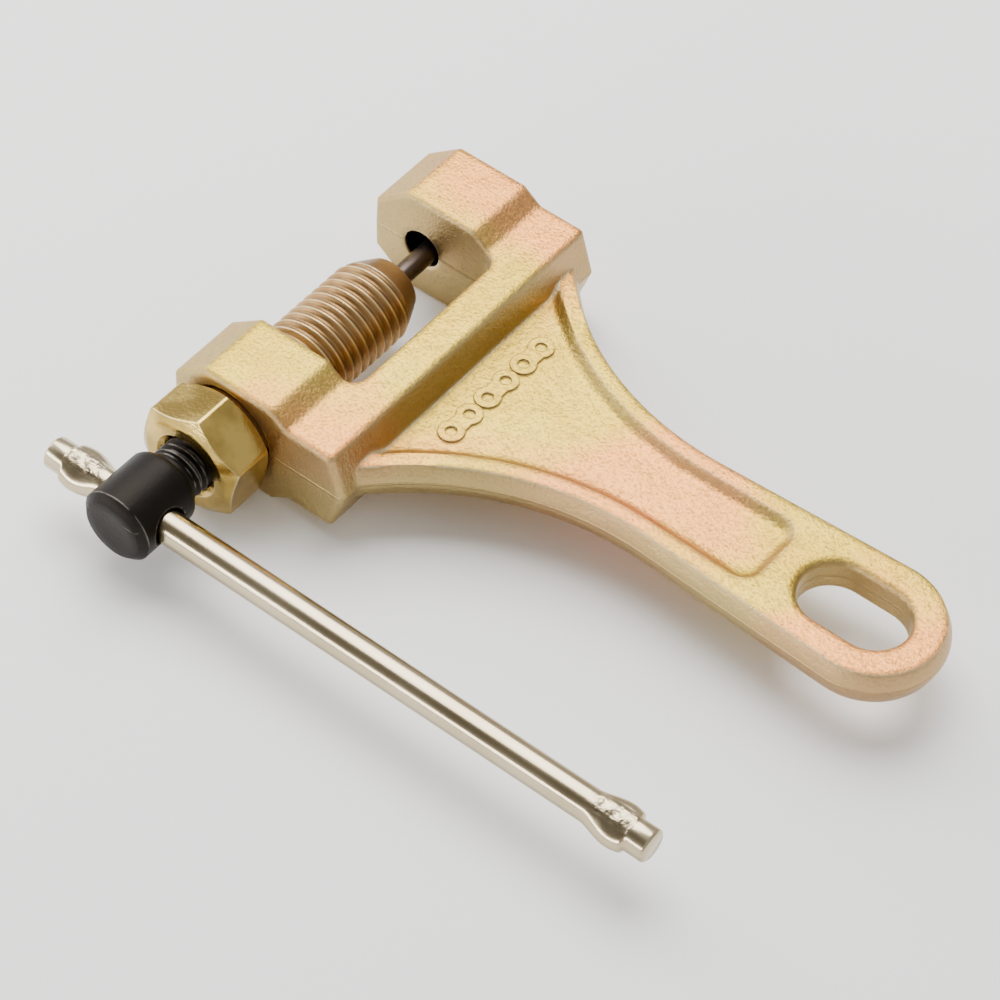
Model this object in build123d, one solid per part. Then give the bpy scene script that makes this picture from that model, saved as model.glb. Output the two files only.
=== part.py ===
from build123d import *
from math import asin, atan2, cos, hypot, radians, sin, sqrt, tan
import os

# Heavy screw-type chain breaker. Millimetres, +Z up. The screw axis is Y, at x = 0 and
# z = 0. The handle runs along +X, and the two faces of the forging are +Z and -Z.

# ---- forged yoke -----------------------------------------------------------------------
YOKE_HALF = 33.5          # half of the yoke's length along the screw axis
GAP_HALF = 18.4           # half of the opening between the two bosses, at mid thickness
GAP_BOTTOM_X = 14.5       # where the opening ends, at the web
GAP_CORNER_R = 2.6
GAP_DRAFT = 2.0           # degrees, from the parting plane outwards

BOSS_LEFT_X = -11.6       # section of a boss, seen along the screw axis
BOSS_TOP_LEFT_X = -4.8
BOSS_TOP_RIGHT_X = 9.1
BOSS_HALF = 11.0          # half thickness at the flat top
BOSS_LEFT_HALF = 5.5      # half height of the upright left face
WEB_LEFT_X = 12.7
WEB_RIGHT_X = 21.7
WEB_HALF = 8.4
WEB_FOOT_X = 24.4         # where the web's drafted back meets the parting plane
YOKE_EDGE_R = 0.9
GAP_EDGE_R = 0.7

# ---- flat handle -----------------------------------------------------------------------
HANDLE_HALF = 3.5         # half thickness of the handle's raised rim
HANDLE_START_X = 17.0     # buried in the web
HANDLE_ROOT_HALF = 33.0
FLANK_R = 54.0            # concave arc from the yoke to the neck
NECK_X = 65.0
NECK_HALF = 11.2
RING_X = 104.6            # centre of the rounded end
RING_R = 13.1
RIM_DRAFT = 21.0          # degrees, on each half of the rounded rim
RIM_RIDGE_R = 4.0
FLASH = 0.2               # trimmed flash line round the handle's edge

PANEL_DEPTH = 1.5
PANEL_INSET = 3.9         # from the handle's edge to the panel's edge
PANEL_END_X = 86.2
PANEL_END_FLARE = 0.4     # how much wider the panel's far end is than its neck
PANEL_CORNER_R = 3.8
PANEL_DRAFT = 48.0        # degrees from upright, which makes the wide soft wall
PANEL_FLOOR_R = 1.6

SLOT_HALF = 6.3
SLOT_LEFT_X = 97.6        # centres of the slot's two rounded ends
SLOT_EDGE_R = 1.3

# ---- raised chain-link ornament on the panel -------------------------------------------
LINK_COUNT = 3
LINK_X = 29.5
LINK_PITCH = 9.6          # from one link's middle to the next
LINK_EYE_GAP = 4.8
LINK_EYE_R = 2.3
LINK_PIN_R = 1.0
LINK_HEIGHT = 0.45
LINK_ROOT = 0.3           # how far each link reaches down into the panel
LINK_WAIST = 3.4

# ---- screws, pin, spring and bar -------------------------------------------------------
THREAD_CLEARANCE = 0.1
BOLT_R = 8.0              # outside thread, 16 mm with a 2 mm pitch
BOLT_HOLE_CHAMFER = 0.9
BOLT_HEAD_BACK_Y = -34.0
BOLT_HEAD_LENGTH = 10.0
BOLT_TIP_Y = 9.0
BOLT_NOSE_R = 5.4          # of the tapered nose, just behind its end face
BOLT_NOSE_LENGTH = 6.0
BOLT_NOSE_CHAMFER = 0.4
HEX_FLATS = 19.0
HEX_TURN = 20.0           # degrees, from a corner pointing along +X
HEX_CHAMFER_ANGLE = 30.0  # from the end face, at both ends of the hexagon
HEX_FACE_SHARE = 0.88     # radius of the round end face over half the flats

SCREW_R = 5.0             # inside thread, 10 mm with a 1.5 mm pitch
SCREW_MOUTH_CHAMFER = 1.1
SCREW_TIP_Y = -9.0
SCREW_BORE_END_Y = -4.0
SPRING_BORE_R = 3.5
SPRING_BORE_END_Y = 5.4
SCREW_HEAD_R = 6.8
SCREW_HEAD_BACK_Y = -48.3
SCREW_HEAD_END_Y = -61.6
SCREW_SHOULDER_R = 1.6
SCREW_END_CHAMFER = 1.3

PIN_R = 1.9
PIN_HEAD_R = 3.2
PIN_HEAD_LENGTH = 3.0
PIN_TIP_Y = 21.8
PIN_TIP_CHAMFER = 0.3
PIN_BORE_R = 2.1
ANVIL_HOLE_R = 3.75
ANVIL_HOLE_X = -1.3       # the drilled hole sits a little off the screw axis

SPRING_OUTER_R = 3.1
SPRING_INNER_R = 2.2
SPRING_END_GAP = 0.15

BAR_R = 2.9
BAR_HOLE_R = 3.25
BAR_END_CHAMFER = 0.4
BAR_Y = -55.2
BAR_LEFT_X = -18.3
BAR_RIGHT_X = 102.8
EAR_LENGTH = 8.2
EAR_FROM_END = 3.6
EAR_HALF_WIDTH = 4.0
EAR_HALF_THICKNESS = 1.6


def along_y(radius, start, end, x=0.0):
    """A cylinder on the screw axis, or beside it at x, from start to end."""
    disc = Plane(origin=(x, start, 0), z_dir=(0, 1, 0)) * Circle(radius)
    return extrude(disc, amount=end - start)


def mirrored(half):
    """A solid above the parting plane together with its twin below it."""
    return half + mirror(half, about=Plane.XY)


def flank_tangent():
    """Touching points of the line that joins the flank arc to the ring."""
    dx, dy = RING_X - NECK_X, -(NECK_HALF + FLANK_R)
    lean = atan2(dy, dx) + asin((FLANK_R + RING_R) / hypot(dx, dy))
    flank = (NECK_X + FLANK_R * sin(lean), NECK_HALF + FLANK_R * (1 - cos(lean)))
    ring = (RING_X - RING_R * sin(lean), RING_R * cos(lean))
    return flank, ring


def flank_point(y, radius=FLANK_R):
    """The point of the flank arc, or of one inside it, at a distance y from the middle."""
    drop = NECK_HALF + FLANK_R - y
    return NECK_X - sqrt(radius ** 2 - drop ** 2), y


def flank_middle(start, end, radius=FLANK_R):
    """A point of the arc half way between two of its points."""
    centre = NECK_HALF + FLANK_R
    first = atan2(start[1] - centre, start[0] - NECK_X)
    last = atan2(end[1] - centre, end[0] - NECK_X)
    middle = (first + last) / 2
    return NECK_X + radius * cos(middle), centre + radius * sin(middle)


def handle_outline():
    """Plan of the handle: straight root, concave flanks, tangent sides and round end."""
    root = flank_point(HANDLE_ROOT_HALF)
    flank, ring = flank_tangent()
    middle = flank_middle(root, flank)
    corner = (HANDLE_START_X, HANDLE_ROOT_HALF)
    upper = [
        Line(corner, root),
        ThreePointArc(root, middle, flank),
        Line(flank, ring),
        ThreePointArc(ring, (RING_X + RING_R, 0), (ring[0], -ring[1])),
    ]
    lower = [mirror(edge, about=Plane.XZ) for edge in upper[:3]]
    base = Line(corner, (corner[0], -corner[1]))
    return make_face(upper + lower + [base])


def panel_outline():
    """Plan of the recessed panel: the handle's flanks moved inwards, cut off square."""
    radius = FLANK_R + PANEL_INSET
    half = NECK_HALF - PANEL_INSET + PANEL_END_FLARE
    centre = NECK_HALF + FLANK_R
    top = centre - sqrt(radius ** 2 - (NECK_X - WEB_RIGHT_X) ** 2)
    start = (WEB_RIGHT_X, top)
    neck = (NECK_X, centre - radius)
    middle = flank_middle(start, neck, radius)
    upper = [
        ThreePointArc(start, middle, neck),
        Line(neck, (PANEL_END_X, half)),
    ]
    lower = [mirror(edge, about=Plane.XZ) for edge in upper]
    ends = [
        Line(start, (start[0], -start[1])),
        Line((PANEL_END_X, half), (PANEL_END_X, -half)),
    ]
    face = make_face(upper + lower + ends)
    corners = face.vertices().group_by(Axis.X)[-1]
    return fillet(corners, PANEL_CORNER_R)


def yoke_section():
    """Section of the bosses and web, seen along the screw axis."""
    upper = [
        (BOSS_LEFT_X, BOSS_LEFT_HALF),
        (BOSS_TOP_LEFT_X, BOSS_HALF),
        (BOSS_TOP_RIGHT_X, BOSS_HALF),
        (WEB_LEFT_X, WEB_HALF),
        (WEB_RIGHT_X, WEB_HALF),
        (WEB_FOOT_X, 0),
    ]
    lower = [(x, -z) for x, z in reversed(upper[:-1])]
    return upper + lower


def yoke():
    """The two bosses and the web, with the drafted opening between them."""
    section = Plane.XZ * make_face(Polyline(*yoke_section(), close=True))
    block = extrude(section, amount=YOKE_HALF, both=True)
    block = fillet(block.edges(), YOKE_EDGE_R)
    gap = Rectangle(2 * (GAP_BOTTOM_X - BOSS_LEFT_X), 2 * GAP_HALF)
    gap = fillet(gap.vertices().group_by(Axis.X)[-1], GAP_CORNER_R)
    gap = Pos(BOSS_LEFT_X, 0) * gap
    block -= mirrored(extrude(gap, amount=BOSS_HALF + 1, taper=-GAP_DRAFT))
    gap_edges = [
        edge for edge in block.edges()
        if edge.bounding_box().max.Y < GAP_HALF + 0.5
        and edge.bounding_box().min.Y > -GAP_HALF - 0.5
        and abs(edge.center().Z) > 0.01
    ]
    return fillet(gap_edges, GAP_EDGE_R)


def handle():
    """The flat handle with its rounded rim, before the panels and the slot are cut."""
    outline = handle_outline()
    plate = mirrored(extrude(outline, amount=HANDLE_HALF, taper=RIM_DRAFT))
    ridge = [
        edge for edge in plate.edges().filter_by_position(Axis.Z, -0.01, 0.01)
        if edge.center().X > HANDLE_START_X + 1
    ]
    return fillet(ridge, RIM_RIDGE_R)


def panel_recess():
    """The shallow recess of the upper face, wide at its mouth, with a coved floor edge."""
    mouth = Pos(0, 0, HANDLE_HALF) * panel_outline()
    recess = extrude(mouth, amount=-PANEL_DEPTH, taper=PANEL_DRAFT)
    floor_edges = recess.edges().group_by(Axis.Z)[0]
    recess = fillet(floor_edges, PANEL_FLOOR_R)
    return recess + extrude(mouth, amount=1.0)


def slot():
    """The hanging slot, rounded over at both faces."""
    length = RING_X - SLOT_LEFT_X
    plan = Pos(SLOT_LEFT_X + length / 2, 0) * SlotCenterToCenter(length, 2 * SLOT_HALF)
    return extrude(plan, amount=HANDLE_HALF + 1, both=True)


def link_relief():
    """Raised outlines of roller-chain links in a row along the screw axis."""
    eye = Circle(LINK_EYE_R)
    link = Pos(0, -LINK_EYE_GAP / 2) * eye + Pos(0, LINK_EYE_GAP / 2) * eye
    link += Rectangle(LINK_WAIST, LINK_EYE_GAP)
    for side in (-1, 1):
        link -= Pos(0, side * LINK_EYE_GAP / 2) * Circle(LINK_PIN_R)
    first = -LINK_PITCH * (LINK_COUNT - 1) / 2
    row = [Pos(LINK_X, first + LINK_PITCH * i) * link for i in range(LINK_COUNT)]
    floor = HANDLE_HALF - PANEL_DEPTH
    start = Pos(0, 0, floor - LINK_ROOT)
    return [extrude(start * one, amount=LINK_ROOT + LINK_HEIGHT) for one in row]


def frame():
    """Yoke and handle as one forging, machined for the bolt and the anvil hole."""
    plate = handle() - mirrored(panel_recess())
    for link in link_relief():
        plate += link
    plate -= slot()
    slot_rims = [
        edge for edge in plate.edges()
        if edge.bounding_box().size.Z < 0.01
        and abs(abs(edge.center().Z) - HANDLE_HALF) < 0.01
        and edge.bounding_box().max.X < RING_X + SLOT_HALF + 0.1
        and edge.bounding_box().min.X > SLOT_LEFT_X - SLOT_HALF - 0.1
    ]
    plate = fillet(slot_rims, SLOT_EDGE_R)
    body = yoke() + plate
    hole_r = BOLT_R + THREAD_CLEARANCE
    body -= along_y(hole_r, -YOKE_HALF - 1, -GAP_HALF + 2)
    body -= along_y(ANVIL_HOLE_R, GAP_HALF - 2, YOKE_HALF + 1, ANVIL_HOLE_X)
    mouth = [
        edge for edge in body.edges().filter_by(GeomType.CIRCLE)
        if abs(edge.radius - hole_r) < 0.01 and abs(edge.center().Y + YOKE_HALF) < 0.01
    ]
    return chamfer(mouth, BOLT_HOLE_CHAMFER)


def clamp_bolt():
    """Hollow hexagon-headed bolt with a tapered nose, bored in three steps."""
    back, front = BOLT_HEAD_BACK_Y, BOLT_HEAD_BACK_Y - BOLT_HEAD_LENGTH
    hexagon = RegularPolygon(HEX_FLATS / 2, 6, major_radius=False, rotation=HEX_TURN)
    plan = Plane(origin=(0, back, 0), x_dir=(1, 0, 0), z_dir=(0, -1, 0))
    head = extrude(plan * hexagon, amount=BOLT_HEAD_LENGTH)
    corner_r = HEX_FLATS / 2 / cos(radians(30))
    flat_r = HEX_FLATS / 2
    face_r = HEX_FACE_SHARE * flat_r
    drop = (corner_r - face_r) * tan(radians(HEX_CHAMFER_ANGLE))
    turning = Polyline(
        (0, front), (face_r, front), (corner_r, front + drop),
        (corner_r, back - drop), (face_r, back), (0, back), close=True,
    )
    head &= revolve(make_face(turning), Axis.Y)
    shank = Polyline(
        (0, back - 1), (BOLT_R, back - 1), (BOLT_R, BOLT_TIP_Y - BOLT_NOSE_LENGTH),
        (BOLT_NOSE_R, BOLT_TIP_Y - BOLT_NOSE_CHAMFER),
        (BOLT_NOSE_R - BOLT_NOSE_CHAMFER, BOLT_TIP_Y), (0, BOLT_TIP_Y), close=True,
    )
    bolt = head + revolve(make_face(shank), Axis.Y)
    bore_r = SCREW_R + THREAD_CLEARANCE
    bore = Polyline(
        (0, front - 1), (bore_r + SCREW_MOUTH_CHAMFER + 1, front - 1),
        (bore_r + SCREW_MOUTH_CHAMFER, front), (bore_r, front + SCREW_MOUTH_CHAMFER),
        (bore_r, SCREW_BORE_END_Y), (SPRING_BORE_R, SCREW_BORE_END_Y + 1),
        (SPRING_BORE_R, SPRING_BORE_END_Y), (PIN_BORE_R, SPRING_BORE_END_Y),
        (PIN_BORE_R, BOLT_TIP_Y + 1), (0, BOLT_TIP_Y + 1), close=True,
    )
    return bolt - revolve(make_face(bore), Axis.Y)


def press_screw():
    """Screw shank and round head in one, cross-drilled for the tommy bar."""
    profile = Polyline(
        (0, SCREW_HEAD_END_Y), (SCREW_HEAD_R - SCREW_END_CHAMFER, SCREW_HEAD_END_Y),
        (SCREW_HEAD_R, SCREW_HEAD_END_Y + SCREW_END_CHAMFER),
        (SCREW_HEAD_R, SCREW_HEAD_BACK_Y), (SCREW_R, SCREW_HEAD_BACK_Y),
        (SCREW_R, SCREW_TIP_Y - 1), (SCREW_R - 1, SCREW_TIP_Y), (0, SCREW_TIP_Y), close=True,
    )
    screw = revolve(make_face(profile), Axis.Y)
    shoulder = [
        edge for edge in screw.edges().filter_by(GeomType.CIRCLE)
        if abs(edge.radius - SCREW_HEAD_R) < 0.01
        and abs(edge.center().Y - SCREW_HEAD_BACK_Y) < 0.01
    ]
    screw = fillet(shoulder, SCREW_SHOULDER_R)
    cross = Plane(origin=(0, BAR_Y, 0), z_dir=(1, 0, 0)) * Circle(BAR_HOLE_R)
    return screw - extrude(cross, amount=SCREW_HEAD_R + 1, both=True)


def tommy_bar():
    """Round bar with an ear swaged out on two sides near each end."""
    length = BAR_RIGHT_X - BAR_LEFT_X
    rod_plan = Plane(origin=(BAR_LEFT_X, BAR_Y, 0), z_dir=(1, 0, 0)) * Circle(BAR_R)
    bar = extrude(rod_plan, amount=length)
    ends = bar.edges().filter_by(GeomType.CIRCLE)
    bar = chamfer(ends, BAR_END_CHAMFER)
    for side, end in ((1, BAR_LEFT_X), (-1, BAR_RIGHT_X)):
        middle = end + side * (EAR_FROM_END + EAR_LENGTH / 2)
        half = EAR_LENGTH / 2
        lens = make_face([
            ThreePointArc((-half, 0), (0, EAR_HALF_WIDTH), (half, 0)),
            ThreePointArc((half, 0), (0, -EAR_HALF_WIDTH), (-half, 0)),
        ])
        bar += extrude(Pos(middle, BAR_Y, 0) * lens, amount=EAR_HALF_THICKNESS, both=True)
    return bar


def punch_pin():
    """Hardened pin with a flat head, driven by the tip of the press screw."""
    head_front = SCREW_TIP_Y + PIN_HEAD_LENGTH
    profile = Polyline(
        (0, SCREW_TIP_Y), (PIN_HEAD_R, SCREW_TIP_Y), (PIN_HEAD_R, head_front),
        (PIN_R, head_front), (PIN_R, PIN_TIP_Y - PIN_TIP_CHAMFER),
        (PIN_R - PIN_TIP_CHAMFER, PIN_TIP_Y), (0, PIN_TIP_Y), close=True,
    )
    return revolve(make_face(profile), Axis.Y)


def return_spring():
    """The space of the spring: a sleeve between the pin's head and the bore's step."""
    start = SCREW_TIP_Y + PIN_HEAD_LENGTH + SPRING_END_GAP
    end = SPRING_BORE_END_Y - SPRING_END_GAP
    return along_y(SPRING_OUTER_R, start, end) - along_y(SPRING_INNER_R, start - 1, end + 1)


if __name__ == "__main__":
    os.makedirs("parts", exist_ok=True)
    for piece in (frame, clamp_bolt, press_screw, tommy_bar, punch_pin, return_spring):
        export_step(piece(), f"parts/{piece.__name__}.step")
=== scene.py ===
from math import cos, pi, radians, sin, tan

import bmesh
import bpy
import numpy as np
from mathutils import Matrix, Vector


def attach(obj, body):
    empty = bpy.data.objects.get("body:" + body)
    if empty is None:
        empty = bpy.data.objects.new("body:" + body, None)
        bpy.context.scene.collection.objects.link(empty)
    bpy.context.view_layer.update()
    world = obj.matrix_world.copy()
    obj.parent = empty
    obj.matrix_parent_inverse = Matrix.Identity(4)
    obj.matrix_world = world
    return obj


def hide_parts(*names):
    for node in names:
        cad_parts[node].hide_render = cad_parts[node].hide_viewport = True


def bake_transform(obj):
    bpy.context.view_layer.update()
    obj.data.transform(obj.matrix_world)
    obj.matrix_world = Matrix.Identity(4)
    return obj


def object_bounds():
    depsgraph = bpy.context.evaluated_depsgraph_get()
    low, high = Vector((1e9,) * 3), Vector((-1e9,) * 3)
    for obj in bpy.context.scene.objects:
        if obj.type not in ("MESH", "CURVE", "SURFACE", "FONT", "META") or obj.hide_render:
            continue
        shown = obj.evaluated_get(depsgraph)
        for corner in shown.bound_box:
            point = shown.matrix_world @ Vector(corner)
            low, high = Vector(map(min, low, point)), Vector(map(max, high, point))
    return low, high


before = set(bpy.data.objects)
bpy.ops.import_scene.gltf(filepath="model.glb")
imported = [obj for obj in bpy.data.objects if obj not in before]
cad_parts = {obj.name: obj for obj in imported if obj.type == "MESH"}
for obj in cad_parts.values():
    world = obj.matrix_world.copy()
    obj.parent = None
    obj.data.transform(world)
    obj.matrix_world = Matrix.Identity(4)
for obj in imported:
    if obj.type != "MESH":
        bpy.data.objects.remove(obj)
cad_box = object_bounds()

# ---- Forged yoke and handle ------------------------------------------------------------
# One drop forging in carbon steel: yoke, two bosses and flat handle, shot-blasted and
# then plated in passivated yellow zinc. It is the CAD shape, with the finish added here.
LINKS_X, LINKS_HALF = 29.5, 2.6      # band across the panel that holds the raised links
ANVIL_HOLE_X, ANVIL_HOLE_R = -1.3, 3.75
ANVIL_FACE_Y = 18.4


def linear(hexa):
    """Linear RGBA of an sRGB hex: c/12.92 when c is small, else ((c+0.055)/1.055)^2.4."""
    c = np.array([int(hexa[i:i + 2], 16) for i in (1, 3, 5)]) / 255
    c = np.where(c <= 0.04045, c / 12.92, ((c + 0.055) / 1.055) ** 2.4)
    return (*c.tolist(), 1.0)


def per_mm(size):
    """Scale of a pattern with features of that size in mm, on coordinates in metres."""
    return 1000 / size


def add(tree, kind, inputs=None, **settings):
    """Adds a node with its settings. Inputs are linked from a socket, or set to a value."""
    new = tree.nodes.new("ShaderNode" + kind)
    for name, value in settings.items():
        setattr(new, name, value)
    for name, value in (inputs or {}).items():
        if isinstance(value, bpy.types.NodeSocket):
            tree.links.new(value, new.inputs[name])
        else:
            new.inputs[name].default_value = value
    return new


def start_material(name, **values):
    """A new material with its tree and shader, and the constants of the shader's sockets."""
    material = bpy.data.materials.new(name)
    material.use_nodes = True
    shader = material.node_tree.nodes["Principled BSDF"]
    for socket, value in values.items():
        shader.inputs[socket.replace("_", " ")].default_value = value
    return material, material.node_tree, shader


# Passivated yellow zinc on a blasted forging: a satin metal whose colour drifts from
# straw to rose in patches as the passivate varies in thickness, with a fine sandy grain.
forged, tree, shader = start_material("yellow_zinc_on_forged_steel", Metallic=1.0)
place = add(tree, "TexCoord").outputs["Object"]
straw, rose, pale = linear("#C8A63C"), linear("#E89C55"), linear("#DABB4C")
# olive darkens the low grain; dull is the colour of the painted shade on the sides; the last
# is the painted edge highlight, partly wear
olive, dull, edge_wear_and_highlight_colour = linear("#7A6638"), linear("#AE9A70"), linear("#FFEFC0")
drift = add(tree, "TexNoise", {
    "Vector": place, "Scale": per_mm(38), "Detail": 1.5, "Distortion": 0.6})
# the passivate is rosier towards the anvil end
length = add(tree, "SeparateXYZ", {0: place}).outputs["Y"]
drift = add(tree, "Math", {0: length, 1: 1.1, 2: drift.outputs["Fac"]},
            operation="MULTIPLY_ADD")
to_rose = add(tree, "MapRange", {0: drift.outputs[0], 1: 0.46, 2: 0.60})
patch = add(tree, "TexNoise", {
    "Vector": place, "Scale": per_mm(13), "Detail": 3.0, "Roughness": 0.55})
to_pale = add(tree, "MapRange", {0: patch.outputs["Fac"], 1: 0.40, 2: 0.70})
grain = add(tree, "TexNoise", {
    "Vector": place, "Scale": per_mm(0.55), "Detail": 3.0, "Roughness": 0.6})
grain_dark = add(tree, "MapRange", {0: grain.outputs["Fac"], 1: 0.54, 2: 0.32, 4: 0.60})
tint = add(tree, "Mix", {0: to_pale.outputs[0], 6: straw, 7: pale}, data_type="RGBA")
tint = add(tree, "Mix", {0: to_rose.outputs[0], 6: tint.outputs[2], 7: rose},
           data_type="RGBA")
tint = add(tree, "Mix", {0: grain_dark.outputs[0], 6: tint.outputs[2], 7: olive},
           data_type="RGBA")
# the sides get a painted shade in the dull colour, growing as their normal tips from upright;
# the flat faces stay lighter
true_normal = add(tree, "NewGeometry").outputs["Normal"]
level = add(tree, "SeparateXYZ", {0: true_normal}).outputs["Z"]
level = add(tree, "Math", {0: level}, operation="ABSOLUTE")
painted_side_shade = add(tree, "MapRange", {0: level.outputs[0], 1: 0.95, 2: 0.55, 4: 0.74})
tint = add(tree, "Mix", {0: painted_side_shade.outputs[0], 6: tint.outputs[2], 7: dull},
           data_type="RGBA")
# edges are rounded, broadly everywhere but on the raised links, which are struck crisp; where
# the rounded normal leaves the true one, the edge gets a painted highlight, partly rubbed
# wear, on hollow edges as well as ridges
broad = add(tree, "Bevel", {"Radius": 0.0018}, samples=6).outputs["Normal"]
crisp = add(tree, "Bevel", {"Radius": 0.0004}, samples=6).outputs["Normal"]
from_links = add(tree, "SeparateXYZ", {0: place}).outputs["X"]
from_links = add(tree, "Math", {0: from_links, 1: LINKS_X / 1000}, operation="SUBTRACT")
from_links = add(tree, "Math", {0: from_links.outputs[0]}, operation="ABSOLUTE")
off_links = add(tree, "MapRange", {
    0: from_links.outputs[0], 1: LINKS_HALF / 1000, 2: LINKS_HALF / 1000 + 0.001})
rounded = add(tree, "Mix", {0: off_links.outputs[0], 4: crisp, 5: broad},
              data_type="VECTOR")
rounded = add(tree, "VectorMath", {0: rounded.outputs[1]}, operation="NORMALIZE")
rounded = rounded.outputs["Vector"]
facing = add(tree, "VectorMath", {0: rounded, 1: true_normal}, operation="DOT_PRODUCT")
edge_wear_and_highlight = add(tree, "MapRange", {0: facing.outputs["Value"], 1: 0.93, 2: 0.76, 4: 0.60})
tint = add(tree, "Mix", {0: edge_wear_and_highlight.outputs[0], 6: tint.outputs[2], 7: edge_wear_and_highlight_colour},
           data_type="RGBA")
# painted shade: the wall of the drilled anvil hole is painted dark, as shade inside the hole
from_hole = add(tree, "VectorMath", {
    0: place, 1: (-ANVIL_HOLE_X / 1000, 0.0, 0.0)}, operation="ADD")
from_hole = add(tree, "VectorMath", {0: from_hole.outputs[0], 1: (1.0, 0.0, 1.0)},
                operation="MULTIPLY")
from_hole = add(tree, "VectorMath", {0: from_hole.outputs[0]}, operation="LENGTH")
hole_shade = add(tree, "MapRange", {
    0: from_hole.outputs["Value"], 1: ANVIL_HOLE_R / 1000 + 0.00013,
    2: ANVIL_HOLE_R / 1000 + 0.00003})
past_face = add(tree, "MapRange", {
    0: length, 1: ANVIL_FACE_Y / 1000, 2: ANVIL_FACE_Y / 1000 + 0.0005})
hole_shade = add(tree, "Math", {0: hole_shade.outputs[0], 1: past_face.outputs[0]},
              operation="MULTIPLY")
tint = add(tree, "Mix", {0: hole_shade.outputs[0], 6: tint.outputs[2],
                         7: linear("#2C2620")}, data_type="RGBA")
tree.links.new(tint.outputs[2], shader.inputs["Base Color"])
# the trimmed flash leaves a fine raised line at mid thickness
height = add(tree, "SeparateXYZ", {0: place}).outputs["Z"]
off_middle = add(tree, "Math", {0: height}, operation="ABSOLUTE")
flash = add(tree, "MapRange", {0: off_middle.outputs[0], 1: 0.0003, 2: 0.0001})
swell = add(tree, "TexNoise", {
    "Vector": place, "Scale": per_mm(4.5), "Detail": 2.0})
body_bump = add(tree, "Bump", {
    "Height": swell.outputs["Fac"], "Normal": rounded, "Distance": 0.0003,
    "Strength": 0.8})
flash_bump = add(tree, "Bump", {
    "Height": flash.outputs[0], "Normal": body_bump.outputs[0], "Distance": 0.00012})
grain_bump = add(tree, "Bump", {
    "Height": grain.outputs["Fac"], "Normal": flash_bump.outputs[0],
    "Distance": 0.00016, "Strength": 1.0})
tree.links.new(grain_bump.outputs[0], shader.inputs["Normal"])
sheen_of_patch = add(tree, "MapRange", {0: patch.outputs["Fac"], 3: 0.30, 4: 0.44})
tree.links.new(sheen_of_patch.outputs[0], shader.inputs["Roughness"])
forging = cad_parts["frame"].data
for slot in range(len(forging.materials)):
    forging.materials[slot] = forged

# ---- Clamp bolt ------------------------------------------------------------------------
# Hollow bolt turned from 19 mm hexagon bar, M16 x 2 outside and bored for the press
# screw, with a tapered nose. Yellow zinc: bronze in the thread, brighter on the head.
BOLT_TURN = radians(20)      # a corner of the hexagon from the +X direction
HEAD_FRONT, HEAD_BACK = -44.0, -34.0
FLAT_R, HEAD_FACE_R = 9.5, 8.36
BOLT_R, BOLT_PITCH, BOLT_DEPTH = 7.9, 2.0, 0.72
NOSE_START, NOSE_END, NOSE_R = 3.0, 9.0, 5.4
SHANK_START, SHANK_END = -33.4, 6.4
BORE_R, SPRING_BORE_R, PIN_BORE_R = 5.1, 3.5, 2.1


def linked_piece(name, points, faces, merge=0.0, sharp_from=None):
    """An object from points in mm and their faces, with its normals turned outwards.

    Points nearer than merge, in metres, become one. Edges bent by more than sharp_from
    degrees stay sharp, and every edge is smooth where that isn't given.
    """
    mesh = bpy.data.meshes.new(name)
    mesh.from_pydata((points.reshape(-1, 3) / 1000).tolist(), [], faces)
    work = bmesh.new()
    work.from_mesh(mesh)
    if merge:
        bmesh.ops.remove_doubles(work, verts=work.verts, dist=merge)
        bmesh.ops.dissolve_degenerate(work, edges=work.edges, dist=1e-7)
    bmesh.ops.recalc_face_normals(work, faces=work.faces)
    work.to_mesh(mesh)
    work.free()
    mesh.shade_smooth()
    if sharp_from:
        mesh.set_sharp_from_angle(angle=radians(sharp_from))
    piece = bpy.data.objects.new(name, mesh)
    bpy.context.scene.collection.objects.link(piece)
    return piece


def turned_piece(name, along, radius):
    """A solid round the Y axis from a grid of the closed profile by the angle.

    x = radius times the sine of the angle, y = along, z = radius times its cosine, in
    mm. One row is one point of the profile and one column is one angle, from 0 to a
    full turn. Rows and columns that meet are merged, which closes the surface.
    """
    rows, columns = radius.shape
    angle = np.linspace(0, 2 * pi, columns)
    points = np.stack([radius * np.sin(angle), along, radius * np.cos(angle)], -1)
    index = np.arange(rows * columns).reshape(rows, columns)
    quads = np.stack([index[:-1, :-1], index[1:, :-1], index[1:, 1:], index[:-1, 1:]], -1)
    return linked_piece(name, points, quads.reshape(-1, 4).tolist(), 2e-6, 32)


def ring_rows(profile, columns):
    """Plain turned rows: every angle gets the same (along, radius) point, in mm."""
    profile = np.array(profile, float)
    along = np.repeat(profile[:, :1], columns, 1)
    return along, np.repeat(profile[:, 1:], columns, 1)


def thread_rows(start, end, pitch, crest, depth, columns):
    """Rows that follow a right-hand helix between two rings.

    along = start + offset + pitch times the turns made, held between start and end, and
    radius = crest - depth times the groove, which fades in over the first turn.
    """
    step = np.array([0, 0.035, 0.09, 0.125, 0.2, 0.3, 0.4, 0.47, 0.56, 0.65, 0.72, 0.82, 0.92])
    groove = np.array([0.05, 0, 0, 0.05, 0.24, 0.54, 0.84, 0.97, 1, 0.97, 0.84, 0.54, 0.24])
    turns = np.arange(-1, np.ceil((end - start) / pitch))
    offset = (turns[:, None] + step).reshape(-1, 1) * pitch
    along = start + offset + pitch * np.linspace(0, 1, columns)
    along = np.clip(along, start, end)
    fade = np.clip((along - start) / pitch, 0, 1)
    cut = np.tile(groove, len(turns))[:, None] * depth
    return along, crest - cut * fade * fade * (3 - 2 * fade)


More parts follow.
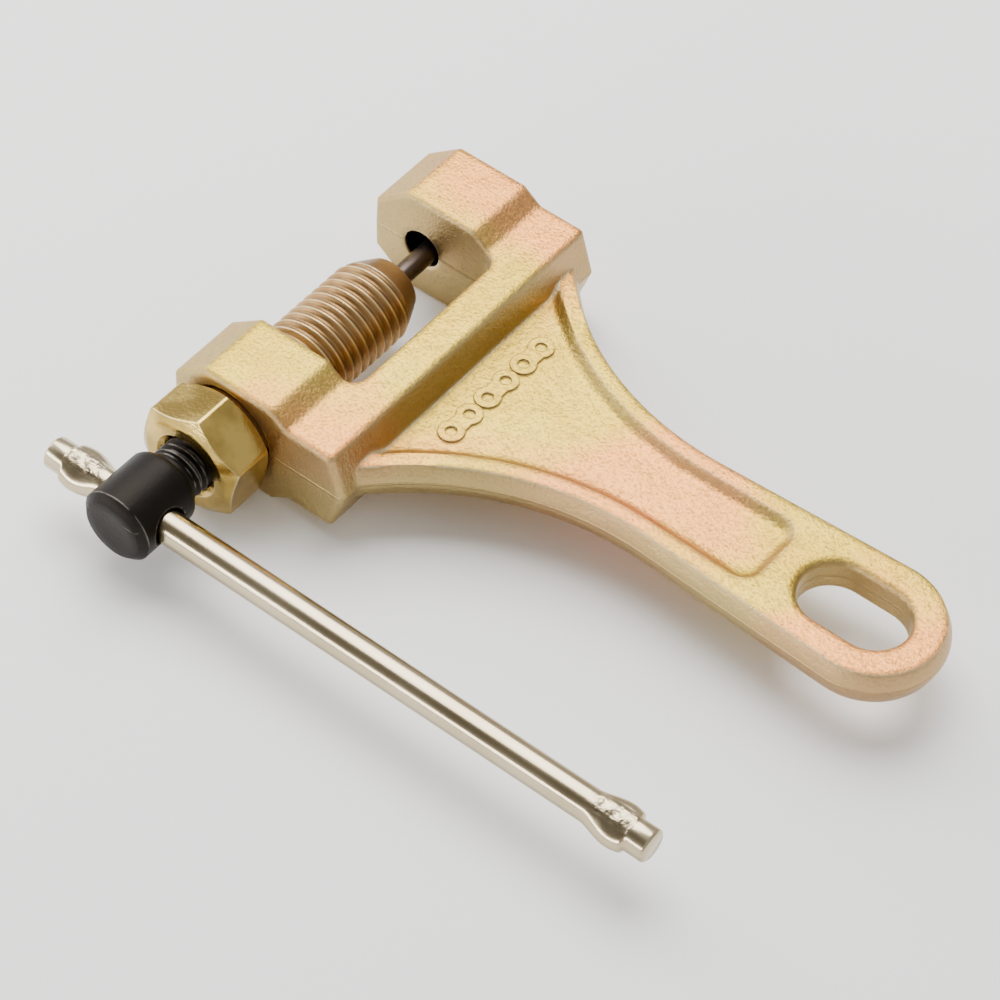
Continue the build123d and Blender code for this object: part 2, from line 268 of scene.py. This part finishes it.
def nose_radius(along):
    """BOLT_R until NOSE_START, then down to NOSE_R by the 1.15 power of the way made."""
    way = np.clip((along - NOSE_START) / (NOSE_END - 0.4 - NOSE_START), 0, 1)
    return BOLT_R - (BOLT_R - NOSE_R) * way ** 1.15


COLUMNS = 241
angle = np.linspace(0, 2 * pi, COLUMNS)
# hexagon: flat distance over the sixth-root sum of powered cosines, which rounds corners
turned = angle - (pi / 2 - BOLT_TURN) + radians(30)
lobes = np.array([np.clip(np.cos(turned - k * pi / 3), 0, 1) for k in range(6)])
hexagon_r = FLAT_R / (lobes ** 90).sum(0) ** (1 / 90)
climb = np.linspace(0, 1, 6)[:, None]
cone_r = HEAD_FACE_R + (hexagon_r - HEAD_FACE_R) * climb
cone_rise = (cone_r - HEAD_FACE_R) * tan(radians(30))
side = np.linspace(0, 1, 9)[1:-1, None]
low, high = HEAD_FRONT + cone_rise[-1], HEAD_BACK - cone_rise[-1]
shank_y, shank_r = thread_rows(
    SHANK_START, SHANK_END, BOLT_PITCH, BOLT_R, BOLT_DEPTH, COLUMNS)
end_y = np.linspace(SHANK_END, NOSE_END - 0.4, 6)
mouth = [(HEAD_FRONT + 1.1, BORE_R), (HEAD_FRONT, BORE_R + 1.1), (HEAD_FRONT, 7.3)]
bolt_rows = [
    ring_rows(mouth, COLUMNS),
    (HEAD_FRONT + cone_rise, cone_r),
    (low + (high - low) * side, np.repeat(hexagon_r[None], 7, 0)),
    (HEAD_BACK - cone_rise[::-1], cone_r[::-1]),
    ring_rows([(HEAD_BACK, BOLT_R + 0.5), (HEAD_BACK, BOLT_R), (SHANK_START, BOLT_R)],
              COLUMNS),
    (shank_y, np.minimum(shank_r, nose_radius(shank_y))),
    ring_rows(np.stack([end_y, nose_radius(end_y)], 1), COLUMNS),
    ring_rows([
        (NOSE_END - 0.15, NOSE_R - 0.12), (NOSE_END, NOSE_R - 0.45), (NOSE_END, 3.6),
        (NOSE_END, PIN_BORE_R + 0.3), (NOSE_END - 0.3, PIN_BORE_R), (5.4, PIN_BORE_R),
        (5.4, SPRING_BORE_R), (-3.0, SPRING_BORE_R), (-4.0, BORE_R), (-24.0, BORE_R),
        mouth[0]], COLUMNS),
]
bolt = turned_piece(
    "hollow_clamp_bolt", np.vstack([y for y, r in bolt_rows]),
    np.vstack([r for y, r in bolt_rows]))

# Yellow zinc on turned steel: brighter and warmer than on the forging. The crests get a
# painted highlight in pale gold, partly rubbed wear, the groove gets painted shade in
# bronze-brown, and turning leaves fine rings on the faces.
turned_zinc, tree, shader = start_material("yellow_zinc_on_turned_steel", Metallic=1.0)
place = add(tree, "TexCoord").outputs["Object"]
across = add(tree, "VectorMath", {0: place, 1: (1.0, 0.0, 1.0)}, operation="MULTIPLY")
reach = add(tree, "VectorMath", {0: across.outputs[0]}, operation="LENGTH")
reach = reach.outputs["Value"]
warm = add(tree, "TexNoise", {"Vector": place, "Scale": per_mm(7), "Detail": 3.0})
to_warm = add(tree, "MapRange", {0: warm.outputs["Fac"], 1: 0.38, 2: 0.62})
thread_tint = add(tree, "Mix", {
    0: to_warm.outputs[0], 6: linear("#A68052"), 7: linear("#C09A68")}, data_type="RGBA")
head_tint = add(tree, "Mix", {
    0: to_warm.outputs[0], 6: linear("#A88C48"), 7: linear("#D8B966")}, data_type="RGBA")
# painted shade below the crest radius, in the groove, and a painted highlight on the crests,
# partly rubbed wear
groove_shade = add(tree, "MapRange", {0: reach, 1: 0.0077, 2: 0.0072, 4: 0.60})
thread_tint = add(tree, "Mix", {
    0: groove_shade.outputs[0], 6: thread_tint.outputs[2], 7: linear("#6B5438")},
    data_type="RGBA")
crest_wear_and_highlight = add(tree, "MapRange", {0: reach, 1: 0.00778, 2: 0.00788, 4: 0.85})
thread_tint = add(tree, "Mix", {
    0: crest_wear_and_highlight.outputs[0], 6: thread_tint.outputs[2], 7: linear("#D8BE8C")},
    data_type="RGBA")
length = add(tree, "SeparateXYZ", {0: place}).outputs["Y"]
on_head = add(tree, "Math", {0: length, 1: -0.0336}, operation="LESS_THAN")
tint = add(tree, "Mix", {
    0: on_head.outputs[0], 6: thread_tint.outputs[2], 7: head_tint.outputs[2]},
    data_type="RGBA")
rounded = add(tree, "Bevel", {"Radius": 0.0004}, samples=6).outputs["Normal"]
facing = add(tree, "VectorMath", {
    0: rounded, 1: add(tree, "NewGeometry").outputs["Normal"]}, operation="DOT_PRODUCT")
# painted highlight along the edges, partly rubbed wear, where the rounded normal leaves the
# true one
edge_wear_and_highlight = add(tree, "MapRange", {0: facing.outputs["Value"], 1: 0.98, 2: 0.86, 4: 0.6})
tint = add(tree, "Mix", {
    0: edge_wear_and_highlight.outputs[0], 6: tint.outputs[2], 7: linear("#FBEFC8")}, data_type="RGBA")
tree.links.new(tint.outputs[2], shader.inputs["Base Color"])
rings = add(tree, "TexNoise", {
    "Vector": add(tree, "CombineXYZ", {0: reach}).outputs[0], "Scale": per_mm(0.35),
    "Detail": 2.0})
skin = add(tree, "TexNoise", {"Vector": place, "Scale": per_mm(0.5), "Detail": 2.0})
ring_bump = add(tree, "Bump", {
    "Height": rings.outputs["Fac"], "Normal": rounded, "Distance": 0.00002})
skin_bump = add(tree, "Bump", {
    "Height": skin.outputs["Fac"], "Normal": ring_bump.outputs[0], "Distance": 0.00003})
tree.links.new(skin_bump.outputs[0], shader.inputs["Normal"])
gloss = add(tree, "MapRange", {0: warm.outputs["Fac"], 3: 0.34, 4: 0.46})
gloss = add(tree, "Mix", {0: on_head.outputs[0], 2: gloss.outputs[0], 3: 0.20})
tree.links.new(gloss.outputs[0], shader.inputs["Roughness"])
bolt.data.materials.append(turned_zinc)
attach(bolt, "clamp_bolt")
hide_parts("clamp_bolt")

# ---- Return spring ---------------------------------------------------------------------
# Small compression spring of drawn wire, wound round the pin between its head and the
# step in the bolt's bore, with closed end coils. It shortens as the pin goes forward.
SPRING_START, SPRING_END, SPRING_COILS = -5.85, 5.25, 7.0
COIL_R, WIRE_R = 2.65, 0.42


def coiled_wire(name, coils, around=14, per_coil=40):
    """A tube on a helix of radius COIL_R, its own radius closing to nothing at each end.

    Along the axis the helix rises as (t - sin(2 pi t) / (2 pi) / 1.35), t from 0 to 1, so
    that the end coils lie nearly flat.
    """
    t = np.linspace(0, 1, int(coils * per_coil))[:, None]
    round_wire = np.linspace(0, 2 * pi, around + 1)[:-1]
    turn = 2 * pi * coils * t
    rise = t - np.sin(2 * pi * t) / (2 * pi) / 1.35
    low, high = SPRING_START + WIRE_R, SPRING_END - WIRE_R
    wire = WIRE_R * np.clip(np.minimum(t, 1 - t) * 400, 0, 1) ** 0.5
    radial = COIL_R + wire * np.cos(round_wire)
    points = np.stack([
        radial * np.sin(turn), low + (high - low) * rise + wire * np.sin(round_wire),
        radial * np.cos(turn)], -1)
    rows = len(t)
    index = np.arange(rows * around).reshape(rows, around)
    beside = np.roll(index, -1, 1)
    quads = np.stack([index[:-1], beside[:-1], beside[1:], index[1:]], -1).reshape(-1, 4)
    return linked_piece(name, points, quads.tolist(), 1e-6)


spring = coiled_wire("coiled_return_spring", SPRING_COILS)
# Drawn music wire, lightly oiled: grey and fairly glossy, streaked along its length.
wire_steel, tree, shader = start_material(
    "drawn_spring_wire", Metallic=1.0, Roughness=0.3)
place = add(tree, "TexCoord").outputs["Object"]
oil = add(tree, "TexNoise", {"Vector": place, "Scale": per_mm(1.5), "Detail": 2.0})
tint = add(tree, "Mix", {
    0: oil.outputs["Fac"], 6: linear("#8C8A86"), 7: linear("#B4B2AD")}, data_type="RGBA")
tree.links.new(tint.outputs[2], shader.inputs["Base Color"])
spring.data.materials.append(wire_steel)
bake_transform(spring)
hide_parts("return_spring")

# ---- Punch pin -------------------------------------------------------------------------
# Hardened headed pin, ground on its working end. The press screw's tip drives its head,
# and it slides out through the hole in the bolt's nose.
PIN_COLUMNS = 65
pin = turned_piece("headed_punch_pin", *ring_rows([
    (-9.0, 0), (-9.0, 1.6), (-9.0, 3.0), (-8.8, 3.2), (-6.2, 3.2), (-6.0, 3.0),
    (-6.0, 2.1), (-5.8, 1.9), (2.0, 1.88), (8.0, 1.88), (15.0, 1.88), (21.3, 1.88),
    (21.6, 1.8), (21.8, 1.5), (21.8, 0.8), (21.8, 0)], PIN_COLUMNS))
# Hardened tool steel, tempered brown-grey: dark, satin, with fine grinding round it.
tempered, tree, shader = start_material("tempered_tool_steel", Metallic=1.0)
place = add(tree, "TexCoord").outputs["Object"]
temper = add(tree, "TexNoise", {"Vector": place, "Scale": per_mm(5), "Detail": 3.0})
tint = add(tree, "Mix", {
    0: temper.outputs["Fac"], 6: linear("#3B3531"), 7: linear("#74675E")},
    data_type="RGBA")
tree.links.new(tint.outputs[2], shader.inputs["Base Color"])
ground = add(tree, "Mapping", {0: place, "Scale": (200.0, 9000.0, 200.0)})
ground = add(tree, "TexNoise", {"Vector": ground.outputs[0], "Scale": 1.0, "Detail": 2.0})
polish = add(tree, "MapRange", {0: ground.outputs["Fac"], 3: 0.26, 4: 0.42})
tree.links.new(polish.outputs[0], shader.inputs["Roughness"])
grind = add(tree, "Bump", {"Height": ground.outputs["Fac"], "Distance": 0.00001})
tree.links.new(grind.outputs[0], shader.inputs["Normal"])
pin.data.materials.append(tempered)
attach(pin, "punch_pin")
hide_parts("punch_pin")

# ---- Press screw -----------------------------------------------------------------------
# M10 screw turned in one with its round head, which is cross-drilled for the bar. It
# screws down the bolt's bore. Chemically blackened, with its edges rubbed grey.
SCREW_COLUMNS = 145
HEAD_R, HEAD_END, HEAD_START, SHOULDER_R = 6.8, -61.6, -48.3, 1.6
CROSS_Y, CROSS_R = -55.2, 3.25
SCREW_R, SCREW_PITCH, SCREW_DEPTH = 4.95, 1.5, 0.85
SCREW_START, TIP_START, TIP_END, TIP_R = -47.6, -10.2, -9.0, 4.1
bend = np.linspace(0, pi / 2, 9)
shoulder = np.stack([
    HEAD_START - SHOULDER_R + SHOULDER_R * np.sin(bend),
    HEAD_R - SHOULDER_R + SHOULDER_R * np.cos(bend)], 1)
barrel = np.stack([np.linspace(HEAD_END + 1.3, HEAD_START - SHOULDER_R, 18)[:-1],
                   np.full(17, HEAD_R)], 1)
screw_y, screw_r = thread_rows(
    SCREW_START, TIP_START, SCREW_PITCH, SCREW_R, SCREW_DEPTH, SCREW_COLUMNS)
# the thread runs down to the tip's radius over its last turn
tip_fade = np.clip((TIP_START - screw_y) / SCREW_PITCH, 0, 1)
screw_rows = [
    ring_rows([(HEAD_END + 0.12, 0), (HEAD_END + 0.1, 2.2), (HEAD_END, 3.6),
               (HEAD_END, 5.3), (HEAD_END + 0.15, 5.65), (HEAD_END + 1.15, 6.68)],
              SCREW_COLUMNS),
    ring_rows(barrel, SCREW_COLUMNS),
    ring_rows(shoulder, SCREW_COLUMNS),
    ring_rows([(HEAD_START + 0.05, SCREW_R), (SCREW_START, SCREW_R)], SCREW_COLUMNS),
    (screw_y, TIP_R + (screw_r - TIP_R) * tip_fade),
    ring_rows([(TIP_START, TIP_R), (TIP_END - 0.2, TIP_R - 0.3), (TIP_END, TIP_R - 0.6),
               (TIP_END, 0)], SCREW_COLUMNS),
]
screw = turned_piece(
    "cross_drilled_press_screw", np.vstack([y for y, r in screw_rows]),
    np.vstack([r for y, r in screw_rows]))
# the cross hole is a turned cutter laid along X: its y and x are exchanged
drill = turned_piece("cross_drill", *ring_rows([
    (-9, 0), (-9, CROSS_R + 0.25), (-6.3, CROSS_R + 0.25), (-5.6, CROSS_R), (0, CROSS_R),
    (5.6, CROSS_R), (6.3, CROSS_R + 0.25), (9, CROSS_R + 0.25), (9, 0)], 97))
drill.data.transform(Matrix(((0, 1, 0, 0), (-1, 0, 0, CROSS_Y / 1000), (0, 0, 1, 0),
                             (0, 0, 0, 1))))
cut = screw.modifiers.new("drilling", "BOOLEAN")
cut.operation, cut.solver, cut.object = "DIFFERENCE", "EXACT", drill
drilled = bpy.data.meshes.new_from_object(
    screw.evaluated_get(bpy.context.evaluated_depsgraph_get()))
screw.modifiers.clear()
screw.data = drilled
screw.data.materials.clear()
bpy.data.objects.remove(drill)

# Black oxide on turned steel: a thin dark brown-black skin with a dull gloss, rubbed
# through to grey along the edges and in a few scuffs on the end.
blackened, tree, shader = start_material(
    "black_oxide_on_turned_steel", Metallic=0.8, Specular_IOR_Level=0.3)
place = add(tree, "TexCoord").outputs["Object"]
cloud = add(tree, "TexNoise", {"Vector": place, "Scale": per_mm(6), "Detail": 4.0})
tint = add(tree, "Mix", {
    0: cloud.outputs["Fac"], 6: linear("#14110F"), 7: linear("#26211D")},
    data_type="RGBA")
rounded = add(tree, "Bevel", {"Radius": 0.0004}, samples=6).outputs["Normal"]
facing = add(tree, "VectorMath", {
    0: rounded, 1: add(tree, "NewGeometry").outputs["Normal"]}, operation="DOT_PRODUCT")
worn = add(tree, "MapRange", {0: facing.outputs["Value"], 1: 0.99, 2: 0.94, 4: 0.9})
patchy = add(tree, "TexNoise", {"Vector": place, "Scale": per_mm(2.2), "Detail": 3.0})
patchy = add(tree, "MapRange", {0: patchy.outputs["Fac"], 1: 0.36, 2: 0.56})
worn = add(tree, "Math", {0: worn.outputs[0], 1: patchy.outputs[0]}, operation="MULTIPLY")
scuffs = add(tree, "Mapping", {0: place, "Rotation": (0.0, 0.6, 0.0),
                               "Scale": (120.0, 300.0, 1500.0)})
scuffs = add(tree, "TexNoise", {"Vector": scuffs.outputs[0], "Scale": 1.0, "Detail": 3.0})
scuffs = add(tree, "MapRange", {0: scuffs.outputs["Fac"], 1: 0.66, 2: 0.76, 4: 0.45})
length = add(tree, "SeparateXYZ", {0: place}).outputs["Y"]
on_end = add(tree, "Math", {0: length, 1: -0.0602}, operation="LESS_THAN")
scuffs = add(tree, "Math", {0: scuffs.outputs[0], 1: on_end.outputs[0]},
             operation="MULTIPLY")
worn = add(tree, "Math", {0: worn.outputs[0], 1: scuffs.outputs[0]}, operation="MAXIMUM")
tint = add(tree, "Mix", {
    0: worn.outputs[0], 6: tint.outputs[2], 7: linear("#A39C94")}, data_type="RGBA")
tree.links.new(tint.outputs[2], shader.inputs["Base Color"])
skin = add(tree, "TexNoise", {"Vector": place, "Scale": per_mm(0.6), "Detail": 3.0})
skin_bump = add(tree, "Bump", {
    "Height": skin.outputs["Fac"], "Normal": rounded, "Distance": 0.00004})
tree.links.new(skin_bump.outputs[0], shader.inputs["Normal"])
dull = add(tree, "MapRange", {0: cloud.outputs["Fac"], 3: 0.36, 4: 0.55})
tree.links.new(dull.outputs[0], shader.inputs["Roughness"])
screw.data.materials.append(blackened)
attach(screw, "press_screw")
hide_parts("press_screw")

# ---- Tommy bar -------------------------------------------------------------------------
# Bright drawn rod, free to slide in the screw's head. Near each end a press has pinched
# it from above and below, which leaves dented flats and pushes out an ear on two sides.
BAR_R, BAR_Y, BAR_LEFT, BAR_RIGHT = 2.9, -55.2, -18.3, 102.8
EAR_LENGTH, EAR_FROM_END, EAR_OUT = 8.2, 3.6, 1.15
EAR_LEAN = radians(14)
BAR_MIDDLE, BAR_HALF = (BAR_LEFT + BAR_RIGHT) / 2, (BAR_RIGHT - BAR_LEFT) / 2


def swaged_bar(name, columns=72):
    """A rod along X whose radius changes where its ends were pinched.

    s runs from 0 at a pinch's inner end to 1 at its outer end. The pinch grows as a
    half sine and drops at its outer end in a small step. The ear adds that times a high
    power of the cosine from the side direction, and the flat takes it off the top and
    bottom, with two dents across it.
    """
    ends = [0.0, 0.08, 0.25, 0.5]
    middle = np.linspace(14, BAR_RIGHT - BAR_LEFT - 14, 16)
    near = np.arange(3.2, 13.0, 0.16)
    length = BAR_RIGHT - BAR_LEFT
    run = np.concatenate([ends, near, middle, length - near[::-1],
                          length - np.array(ends)[::-1]])[:, None]
    from_end = np.minimum(run, length - run)
    s = 1 - (from_end - EAR_FROM_END) / EAR_LENGTH
    pinch = np.sin(np.clip(s, 0, 1) ** 1.2 * pi * 0.80) ** 1.1
    pinch = pinch * np.clip((1.0 - s) / 0.05, 0, 1) * (s > 0)
    turn = np.linspace(0, 2 * pi, columns + 1)[:-1]
    sideways = np.abs(np.cos(turn - EAR_LEAN))
    upright = np.abs(np.sin(turn - EAR_LEAN))
    rim = BAR_R - 0.4 * (1 - np.clip(from_end / 0.4, 0, 1)) ** 1.6
    dents = 0.5 + 0.5 * np.cos(2 * pi * 3.1 * s + 2.5 * np.cos(turn * 3))
    radius = rim + EAR_OUT * pinch * sideways ** 5
    radius = radius - pinch * upright ** 6 * (0.16 + 0.16 * dents)
    points = np.stack([
        BAR_LEFT + run + 0 * radius, BAR_Y + radius * np.cos(turn),
        radius * np.sin(turn)], -1)
    rows = len(run)
    index = np.arange(rows * columns).reshape(rows, columns)
    beside = np.roll(index, -1, 1)
    quads = np.stack([index[:-1], index[1:], beside[1:], beside[:-1]], -1).reshape(-1, 4)
    caps = [index[0].tolist(), index[-1][::-1].tolist()]
    return linked_piece(name, points, quads.tolist() + caps, sharp_from=40)


bar = swaged_bar("swaged_tommy_bar")
# Bright nickel on drawn rod: a warm champagne mirror, softened by draw lines that run along
# it, with brownish stain in them; the pinched dents are darker in their low spots.
nickel, tree, shader = start_material("bright_nickel_on_drawn_rod", Metallic=1.0)
place = add(tree, "TexCoord").outputs["Object"]
lines = add(tree, "Mapping", {0: place, "Scale": (14.0, 1500.0, 1500.0)})
lines = add(tree, "TexNoise", {"Vector": lines.outputs[0], "Scale": 1.0, "Detail": 4.0})
stain = add(tree, "TexNoise", {"Vector": place, "Scale": per_mm(9), "Detail": 4.0})
tint = add(tree, "Mix", {
    0: stain.outputs["Fac"], 6: linear("#B5A380"), 7: linear("#CFC2A4")},
    data_type="RGBA")
dark_line = add(tree, "MapRange", {0: lines.outputs["Fac"], 1: 0.62, 2: 0.76, 4: 0.5})
tint = add(tree, "Mix", {
    0: dark_line.outputs[0], 6: tint.outputs[2], 7: linear("#87755A")}, data_type="RGBA")
middle_off = add(tree, "VectorMath", {
    0: place, 1: (-BAR_MIDDLE / 1000, 0.0, 0.0)}, operation="ADD")
middle_off = add(tree, "SeparateXYZ", {0: middle_off.outputs[0]}).outputs["X"]
middle_off = add(tree, "Math", {0: middle_off}, operation="ABSOLUTE")
ear_start = (BAR_HALF - EAR_FROM_END - EAR_LENGTH - 0.25) / 1000
ear_end = (BAR_HALF - EAR_FROM_END + 0.15) / 1000
at_ears = add(tree, "MapRange", {
    0: middle_off.outputs[0], 1: ear_start, 2: ear_start + 0.002})
at_stub = add(tree, "MapRange", {
    0: middle_off.outputs[0], 1: ear_end, 2: ear_end - 0.0004})
at_ears = add(tree, "Math", {0: at_ears.outputs[0], 1: at_stub.outputs[0]},
              operation="MULTIPLY")
side_off = add(tree, "VectorMath", {
    0: place, 1: (0.0, -BAR_Y / 1000, 0.0)}, operation="ADD")
side_off = add(tree, "SeparateXYZ", {0: side_off.outputs[0]}).outputs["Y"]
side_off = add(tree, "Math", {0: side_off}, operation="ABSOLUTE")
on_flat = add(tree, "MapRange", {0: side_off.outputs[0], 1: 0.0019, 2: 0.0012})
at_ears = add(tree, "Math", {0: at_ears.outputs[0], 1: on_flat.outputs[0]},
              operation="MULTIPLY")
crumple = add(tree, "TexNoise", {
    "Vector": place, "Scale": per_mm(1.6), "Detail": 4.0, "Distortion": 1.2})
# darker in the low spots of the pinched dents
dent_low_darkening = add(tree, "MapRange", {0: crumple.outputs["Fac"], 1: 0.50, 2: 0.36, 4: 0.8})
dent_low_darkening = add(tree, "Math", {0: dent_low_darkening.outputs[0], 1: at_ears.outputs[0]},
                   operation="MULTIPLY")
tint = add(tree, "Mix", {
    0: dent_low_darkening.outputs[0], 6: tint.outputs[2], 7: linear("#5F5245")},
    data_type="RGBA")
tree.links.new(tint.outputs[2], shader.inputs["Base Color"])
crumple_height = add(tree, "Math", {0: crumple.outputs["Fac"], 1: at_ears.outputs[0]},
                     operation="MULTIPLY")
line_bump = add(tree, "Bump", {"Height": lines.outputs["Fac"], "Distance": 0.00002})
dent_bump = add(tree, "Bump", {
    "Height": crumple_height.outputs[0], "Normal": line_bump.outputs[0],
    "Distance": 0.00025})
tree.links.new(dent_bump.outputs[0], shader.inputs["Normal"])
gloss = add(tree, "MapRange", {0: stain.outputs["Fac"], 3: 0.16, 4: 0.28})
tree.links.new(gloss.outputs[0], shader.inputs["Roughness"])
bar.data.materials.append(nickel)
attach(bar, "tommy_bar")
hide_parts("tommy_bar")

# ---- Studio ----------------------------------------------------------------------------
# A plain pale table, soft lights and the camera. The tool lies on the table on the
# undersides of its bosses, with the handle clear of it.
floor_mesh = bpy.data.meshes.new("table_top")
floor_mesh.from_pydata(
    [(x, y, cad_box[0][2]) for x, y in ((-3, -3), (3, -3), (3, 3), (-3, 3))], [],
    [(0, 1, 2, 3)])
table_top = bpy.data.objects.new("table_top", floor_mesh)
bpy.context.scene.collection.objects.link(table_top)
# Matt white laminate: plain, so that the tool's soft shadow is all that it shows.
laminate, tree, shader = start_material("matt_white_laminate", Roughness=0.7)
shader.inputs["Base Color"].default_value = linear("#FDFDFC")
floor_mesh.materials.append(laminate)


def softbox(name, centre, size, power, target=(0.04, 0.0, 0.0)):
    """A rectangular area light at centre, in metres, turned to face target."""
    lamp = bpy.data.lights.new(name, "AREA")
    lamp.shape, lamp.size, lamp.size_y, lamp.energy = "RECTANGLE", *size, power
    light = bpy.data.objects.new(name, lamp)
    aim = Vector(centre) - Vector(target)
    light.matrix_world = Matrix.Translation(centre) @ aim.to_track_quat(
        "Z", "Y").to_matrix().to_4x4()
    bpy.context.scene.collection.objects.link(light)


softbox("overhead", (-0.25, 0.30, 0.75), (0.8, 0.7), 13.0)
softbox("front_low", (-0.30, -0.65, 0.17), (1.0, 0.09), 4.8)
softbox("left_side", (-0.70, 0.05, 0.35), (0.5, 0.4), 3.0)

world = bpy.data.worlds.new("studio_walls")
world.use_nodes = True
tree = world.node_tree
# the room is pale overhead and behind, and dim in front, between the front lamp and the
# ceiling, which draws a dark streak along bright round parts
towards = add(tree, "TexCoord").outputs["Generated"]
in_front = add(tree, "VectorMath", {0: towards, 1: (-0.30, -0.66, 0.69)},
               operation="DOT_PRODUCT")
dim = add(tree, "MapRange", {0: in_front.outputs["Value"], 1: 0.78, 2: 0.96})
walls = add(tree, "Mix", {0: dim.outputs[0], 6: linear("#F4F2EF"), 7: linear("#8F8B85")},
            data_type="RGBA")
tree.links.new(walls.outputs[2], tree.nodes["Background"].inputs["Color"])
tree.nodes["Background"].inputs["Strength"].default_value = 0.68
bpy.context.scene.world = world

# camera: azimuth and elevation of the line of sight, roll, distance and focal length
AZIMUTH, ELEVATION, ROLL = radians(35.50), radians(50.22), radians(3.45)
DISTANCE, SHIFT_X, SHIFT_Y, FOCAL = 600.0, -23.81, 31.43, 3564.0
right = np.array([cos(AZIMUTH), sin(AZIMUTH), 0])
back = np.array([sin(AZIMUTH) * cos(ELEVATION), -cos(AZIMUTH) * cos(ELEVATION),
                 sin(ELEVATION)])
up = np.cross(back, right)
right, up = cos(ROLL) * right + sin(ROLL) * up, cos(ROLL) * up - sin(ROLL) * right
eye = (DISTANCE * back - SHIFT_X * right - SHIFT_Y * up) / 1000
camera_data = bpy.data.cameras.new("camera")
camera_data.sensor_width = 36.0
camera_data.lens = FOCAL * 36.0 / 1000
camera = bpy.data.objects.new("camera", camera_data)
camera.matrix_world = Matrix([
    [right[i], up[i], back[i], eye[i]] for i in range(3)] + [[0, 0, 0, 1]])
bpy.context.scene.collection.objects.link(camera)
bpy.context.scene.camera = camera
